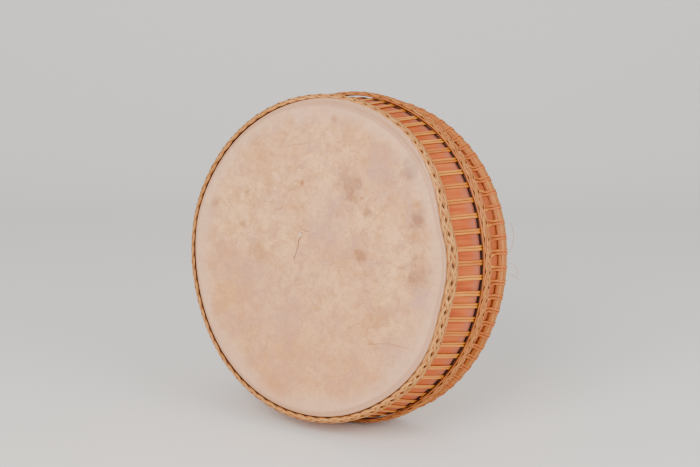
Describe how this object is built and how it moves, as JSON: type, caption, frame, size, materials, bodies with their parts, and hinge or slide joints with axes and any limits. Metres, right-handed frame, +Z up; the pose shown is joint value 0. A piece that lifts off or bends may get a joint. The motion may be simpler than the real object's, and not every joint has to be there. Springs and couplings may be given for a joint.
{
  "type": "ceremonial ritual drum",
  "caption": "Shallow round two-headed drum standing on its edge: wooden shell, rawhide heads, plaited rattan hoops and paired split-rattan lacing.",
  "frame": {"origin": "centre of the bounding box's base, on the surface that the drum stands on", "axes": "+Z up; the playing head faces -Y, tipped back a little; +X to the right of someone who faces the head"},
  "size_m": [0.4712, 0.2004, 0.468],
  "materials": {
    "shell_wood": "dry reddish-brown wood, greyed towards the middle hoop",
    "front_rawhide": "cream rawhide, worn and smudged, matt",
    "back_rawhide": "cream rawhide, matt",
    "front_plait": "plaited split rattan, satin",
    "middle_plait": "plaited split rattan, satin",
    "back_plait": "plaited split rattan, satin",
    "split_rattan": "split rattan with its satin skin outwards"
  },
  "bodies": {
    "root": {"shell": "shell_wood", "front_head": "front_rawhide", "back_head": "back_rawhide", "front_hoop": "front_plait", "middle_hoop": "middle_plait", "back_hoop": "back_plait", "lacing": "split_rattan"}
  },
  "joints": []
}
